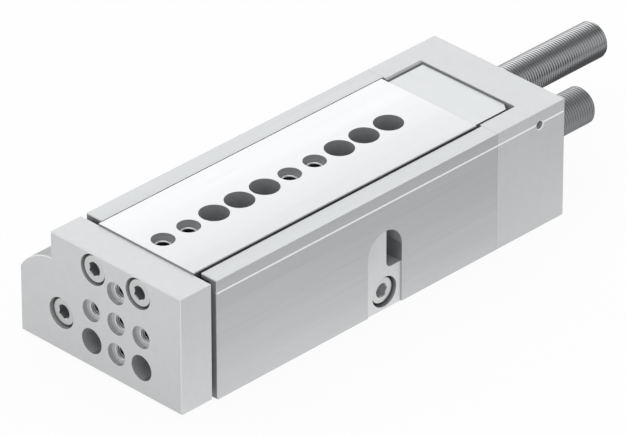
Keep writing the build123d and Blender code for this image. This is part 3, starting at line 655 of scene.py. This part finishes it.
def drive_screws(node, body, head, direction, tops, socket_shade_or_zinc=socket_shade_paint):
    """Makes the screws of one CAD node, each with the middle of its head's top at a given place."""
    low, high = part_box(node)
    axis = max(range(3), key=lambda i: abs(direction[i]))
    length = high[axis] - low[axis]
    for number, top in enumerate(tops, 1):
        screw = cap_screw(f"{node}_{number}", reach=length - head["head_height"], **head)
        dress(screw, bright_zinc, body, "zinc_steel", node)
        socket_top = head["head_height"] / MM - 0.02
        socket_radius = head["hex_width"] / MM / 2 + 0.6
        paint_faces(screw, socket_shade_or_zinc, lambda centre, normal: (
            not 0.1 < normal.z < 0.9 and 0 < centre.z < socket_top
            and math.hypot(centre.x, centre.y) < socket_radius))
        seat = Vector(top) - Vector(direction) * head["head_height"]
        turn_and_place(screw, direction, seat)


def head_tops(node, head_radius, direction):
    """Places of the head tops of a node that has one screw, or two side by side in X."""
    low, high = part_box(node)
    middle = (low + high) / 2
    if direction[0]:
        return [Vector((high.x, middle.y, middle.z))]
    top = high.y if direction[1] > 0 else low.y
    columns = [low.x + head_radius, high.x - head_radius]
    if columns[1] - columns[0] < head_radius:
        columns = [middle.x]
    return [Vector((x, top, middle.z)) for x in columns]


FORWARD, BACKWARD, RIGHTWARD = (0, -1, 0), (0, 1, 0), (1, 0, 0)
M5_RIM, M4_RIM = M5_HEAD["head_radius"], M4_HEAD["head_radius"]
yoke_heads = head_tops("yoke_screws", M5_RIM, FORWARD)
rod_head = head_tops("rod_screw", M5_RIM, FORWARD)
drive_screws("yoke_screws", "carriage", M5_HEAD, FORWARD, yoke_heads)
drive_screws("rod_screw", "carriage", M5_HEAD, FORWARD, rod_head)
# The counterbores round the heads are reamed like the plain holes, and look as grey.
counterbores = [(top.x, top.z) for top in yoke_heads + rod_head]
paint_faces(yoke, reamed_wall, lambda centre, normal: (
    abs(normal.y) < 0.3 and hole_distance(centre.x, centre.z, counterbores) < COUNTERBORE_REACH))
# The socket of the stop's screw has no painted shade, and keeps the mid grey of the zinc.
zinc_socket = metal("zinc plated socket", "#B8BABB", "#C4C6C7", 0.45, mirrored=0.4,
                    fine=(0.2, 0.2, "Y"), wide=(1.0, 1.0, "Y"), relief_mm=0.004)
stop_head = head_tops("fixed_stop_screw", M5_RIM, RIGHTWARD)
drive_screws("fixed_stop_screw", "base", M5_HEAD, RIGHTWARD, stop_head, zinc_socket)
block_heads = head_tops("end_block_screws", M4_RIM, BACKWARD)
drive_screws("end_block_screws", "carriage", M4_HEAD, BACKWARD, block_heads)
CAP_SCREW_PLACES = ((-33.7, 21.6), (-11.0, 5.6), (6.0, 6.4), (21.0, 9.6))
cap_screw_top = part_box("end_cap_screws")[1].y
cap_heads = [(x * MM, cap_screw_top, z * MM) for x, z in CAP_SCREW_PLACES]
drive_screws("end_cap_screws", "base", M4_HEAD, BACKWARD, cap_heads)

# End block
# A milled aluminium block is screwed to the back of the slide, and holds the advance stop's thread.
# It is anodised like the cap, with the cutter's fine lines across it, and two M4 screws enter from the back.
milled_aluminium = metal("milled end block aluminium", "#BCBEBF", "#C4C6C7", 0.36, mirrored=0.75,
                         fine=(0.35, 12.0, "X"), wide=(3.0, 30.0, "X"), relief_mm=0.004)
end_block = copy_of_node("slide_end_block", "end_block_body")
break_edges(end_block)
dress(end_block, milled_aluminium, "carriage", "block_aluminium", "slide_end_block")

# Stop sleeves
# Two M12 x 1 sleeves screw in the end block and in the cap, and set the ends of the travel.
# They are turned from steel with a gunmetal finish, a fine thread from end to end and a socket at the back.
# The thread is truncated, with wide flat crests, so light runs along the sleeve in one bright band.
M12_RADIUS = 5.9 * MM
M12_CORE = 5.72 * MM
CREST_FLAT = 0.56
FLANK = 0.2
M12_PITCH = 1.0 * MM
SLEEVE_CHAMFER = 0.8 * MM
SLEEVE_HEX = 5.0 * MM
SLEEVE_HEX_DEPTH = 5.0 * MM
BUFFER_RADIUS = 3.05 * MM
BUFFER_DEPTH = 4.0 * MM


def shaded_worn_thread(name, axis_x, axis_z, crest, roughness):
    """Gunmetal thread whose roots are painted dark, as painted shade, and whose crests are lighter, polished
    by handling.
    """
    material = new_material(name)
    mottle = grain(material, 0.4, 0.4, "Y")
    place = add_node(material, "ShaderNodeTexCoord")
    from_axis = add_node(material, "ShaderNodeVectorMath", {
        0: place.outputs["Object"], 1: (axis_x, 0, axis_z)}, operation="SUBTRACT")
    across = add_node(material, "ShaderNodeVectorMath", {0: from_axis.outputs[0], 1: (1, 0, 1)},
                      operation="MULTIPLY")
    radius = add_node(material, "ShaderNodeVectorMath", {0: across.outputs[0]}, operation="LENGTH")
    height = fade(material, radius.outputs["Value"], M12_CORE, M12_RADIUS, 0.0, 0.85)
    shade_to_wear = calculate(material, "ADD", height, ranged(material, mottle, 0.0, 0.15))
    colour = add_node(material, "ShaderNodeMix", {
        "Factor": shade_to_wear, 6: linear("#6A6C6E"), 7: linear(crest)}, data_type="RGBA")
    shader = add_node(material, "ShaderNodeBsdfPrincipled", {
        "Base Color": colour.outputs[2], "Metallic": 1.0,
        "Roughness": ranged(material, mottle, roughness - 0.04, roughness + 0.04)})
    add_node(material, "ShaderNodeOutputMaterial", {"Surface": shader.outputs["BSDF"]})
    return material


def chamfer_ends(rod, length, chamfer):
    """Draws in what stands outside the cone of a chamfer at each end of a rod along Z."""
    for vertex in rod.data.vertices:
        from_end = min(vertex.co.z, length - vertex.co.z)
        limit = M12_RADIUS - chamfer + max(from_end, 0)
        radius = math.hypot(vertex.co.x, vertex.co.y)
        if radius > limit:
            vertex.co.x *= limit / radius
            vertex.co.y *= limit / radius


def stop_sleeve(node, name, body, crest, roughness):
    low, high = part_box(node)
    length = high.y - low.y
    sleeve = threaded_rod(name, length, M12_CORE, M12_RADIUS, M12_PITCH, 40, CREST_FLAT, FLANK)
    chamfer_ends(sleeve, length, SLEEVE_CHAMFER)
    bpy.ops.mesh.primitive_cylinder_add(vertices=6, radius=SLEEVE_HEX / math.sqrt(3),
                                        depth=2 * SLEEVE_HEX_DEPTH, location=(0, 0, length))
    cut_away(sleeve, bpy.context.active_object)
    bpy.ops.mesh.primitive_cylinder_add(vertices=48, radius=BUFFER_RADIUS, depth=2 * BUFFER_DEPTH,
                                        location=(0, 0, 0))
    cut_away(sleeve, bpy.context.active_object)
    middle = (low + high) / 2
    turn_and_place(sleeve, BACKWARD, Vector((middle.x, low.y, middle.z)))
    turn_faces_out(sleeve)
    bpy.ops.object.shade_smooth_by_angle(angle=math.radians(20))
    thread = shaded_worn_thread(f"gunmetal thread of {name}", middle.x, middle.z, crest, roughness)
    dress(sleeve, thread, body, "dark_steel", node)


stop_sleeve("advance_stop_sleeve", "advance_sleeve_body", "advance_stop", "#B2B4B5", 0.24)
# The short sleeve's crests are painted darker, as painted shade, and its rougher finish makes its bright band
# weak.
stop_sleeve("retract_stop_sleeve", "retract_sleeve_body", "retract_stop", "#A2A4A5", 0.42)

# Buffers
# A short pad of polyurethane stands a millimetre out of each sleeve's nose and softens the stop.
# It is cast, translucent yellow brown in the mass, and a little glossy.
polyurethane = dull_solid("cast polyurethane", "#8A6A28", "#9C7A34", 0.4, 0.4, 0.01)
coat("advance_buffer", polyurethane)
coat("retract_buffer", polyurethane)

# Floor and light
# The slide lies on a white table in a white room, so that the photo's ground is pure white.
# What looks at the table sees its even glow. What is lit by it, or mirrors it, sees a table of uneven light.
floor_size = 8.0
bpy.ops.mesh.primitive_plane_add(size=floor_size, location=(0, 0, -0.02 * MM))
floor = bpy.context.active_object
floor.name = "floor"


def seen_directly(material):
    """One where a surface is looked at, straight or off a mirror, and one where it is off a mirror."""
    path = add_node(material, "ShaderNodeLightPath")
    direct = calculate(material, "MAXIMUM", path.outputs["Is Camera Ray"], path.outputs["Is Glossy Ray"])
    seen = calculate(material, "MAXIMUM", direct, path.outputs["Is Transmission Ray"])
    return seen, path.outputs["Is Glossy Ray"]


def chosen_strength(material, share, plain, other):
    """The plain strength where the share is nothing, and the other where it is one."""
    node = add_node(material, "ShaderNodeMix", {"Factor": share, 2: plain, 3: other})
    return node.outputs[0]


table = new_material("white table")
seen, in_mirror = seen_directly(table)
place = add_node(table, "ShaderNodeTexCoord")
parts = add_node(table, "ShaderNodeSeparateXYZ", {"Vector": place.outputs["Object"]})
x, y = parts.outputs["X"], parts.outputs["Y"]
# Beside the body its glow falls off to the right and to the far end, so the side's foot looks brighter.
to_the_right = fade(table, x, 26 * MM, 80 * MM, 1.32, 0.74)
to_the_far_end = fade(table, y, -20 * MM, 70 * MM, 1.0, 0.86)
beside = calculate(table, "MULTIPLY", to_the_right, to_the_far_end)
# Behind the body lies its shade, deep on the left and weak on the right, which the sleeves mirror.
aslant = calculate(table, "SUBTRACT", y, x)
clear_of_side = calculate(table, "ADD", aslant, RIGHT_FACE * MM)
behind = calculate(table, "MINIMUM", clear_of_side, y)
shade = fade(table, x, 12 * MM, 35 * MM, 0.1, 0.62)
shaded = fade(table, behind, 94 * MM, 100 * MM, 1.0, shade)
around = calculate(table, "MULTIPLY", beside, shaded)
# Ahead of the yoke it is brighter away from the foot, so the yoke's front is even.
ahead = fade(table, y, -130 * MM, -75 * MM, 1.1, 0.88)
in_front = calculate(table, "LESS_THAN", y, -74 * MM)
uneven = chosen_strength(table, in_front, around, ahead)
strength = chosen_strength(table, in_mirror, 1.0, uneven)
glow = add_node(table, "ShaderNodeEmission", {"Color": (1, 1, 1, 1), "Strength": strength})
matt = add_node(table, "ShaderNodeBsdfDiffuse", {"Color": linear("#FAFAFA")})
share = calculate(table, "MULTIPLY", seen, 0.92)
both = add_node(table, "ShaderNodeMixShader", {
    0: share, 1: matt.outputs["BSDF"], 2: glow.outputs["Emission"]})
# Seen from below, the table is clear, so that the underside can be looked at.
sides = add_node(table, "ShaderNodeNewGeometry")
clear = add_node(table, "ShaderNodeBsdfTransparent")
one_sided = add_node(table, "ShaderNodeMixShader", {
    0: sides.outputs["Backfacing"], 1: both.outputs["Shader"], 2: clear.outputs["BSDF"]})
add_node(table, "ShaderNodeOutputMaterial", {"Surface": one_sided.outputs["Shader"]})
floor.data.materials.append(table)

# In a mirror, the room has bright walls and a dark ceiling, and both are dimmer on the right.
world = bpy.context.scene.world or bpy.data.worlds.new("studio")
bpy.context.scene.world = world
world.use_nodes = True
world.node_tree.nodes.clear()
seen, in_mirror = seen_directly(world)
sky = add_node(world, "ShaderNodeTexCoord")
parts = add_node(world, "ShaderNodeSeparateXYZ", {"Vector": sky.outputs["Generated"]})
ceiling = fade(world, parts.outputs["Z"], 0.5, 0.72, 1.45, 0.42)
right_side = fade(world, parts.outputs["X"], -0.5, 0.15, 1.0, 0.54)
walls = calculate(world, "MULTIPLY", ceiling, right_side)
strength = chosen_strength(world, in_mirror, 1.0, walls)
white = add_node(world, "ShaderNodeBackground", {"Color": (1, 1, 1, 1), "Strength": strength})
ambient = add_node(world, "ShaderNodeBackground", {"Color": (1, 1, 1, 1), "Strength": 0.75})
both = add_node(world, "ShaderNodeMixShader", {
    0: seen, 1: ambient.outputs["Background"], 2: white.outputs["Background"]})
add_node(world, "ShaderNodeOutputWorld", {"Surface": both.outputs["Shader"]})


def soft_box(name, place, size, watts):
    """Square studio lamp that faces the object."""
    bpy.ops.object.light_add(type="AREA", location=place)
    lamp = bpy.context.active_object
    lamp.name = name
    lamp.data.shape = "SQUARE"
    lamp.data.size = size
    lamp.data.energy = watts
    lamp.rotation_mode = "QUATERNION"
    lamp.rotation_quaternion = Vector(place).to_track_quat("Z", "Y")


soft_box("back_box", (-1.2, 1.2, 1.2), 1.6, 5.0)
soft_box("top_box", (0.2, -0.3, 2.0), 1.6, 6.5)

# Camera
# A long lens looks from the front right and above, so that upright edges lean very little.
# The place was fitted to the photo's corners and hole centres.
view_azimuth = math.radians(44.82)
view_elevation = math.radians(31.24)
view_roll = math.radians(-0.094)
aim = Vector((0, -55.0, 39.5)) * MM
view_shift = (41.9475 * MM, 5.689 * MM)
view_distance = 2096.85 * MM
right = Vector((math.cos(view_azimuth), math.sin(view_azimuth), 0))
back = Vector((math.sin(view_azimuth) * math.cos(view_elevation),
               -math.cos(view_azimuth) * math.cos(view_elevation), math.sin(view_elevation)))
up = back.cross(right)
camera_place = aim + right * view_shift[0] + up * view_shift[1] + back * view_distance
turned_right = math.cos(view_roll) * right + math.sin(view_roll) * up
turned_up = math.cos(view_roll) * up - math.sin(view_roll) * right
camera_data = bpy.data.cameras.new("camera")
camera_data.sensor_width = 36.0
camera_data.lens = 431.88
camera = bpy.data.objects.new("camera", camera_data)
bpy.context.scene.collection.objects.link(camera)
turn = Matrix((turned_right, turned_up, back)).transposed().to_4x4()
camera.matrix_world = Matrix.Translation(camera_place) @ turn
bpy.context.scene.camera = camera
bpy.context.scene.view_settings.view_transform = "Standard"
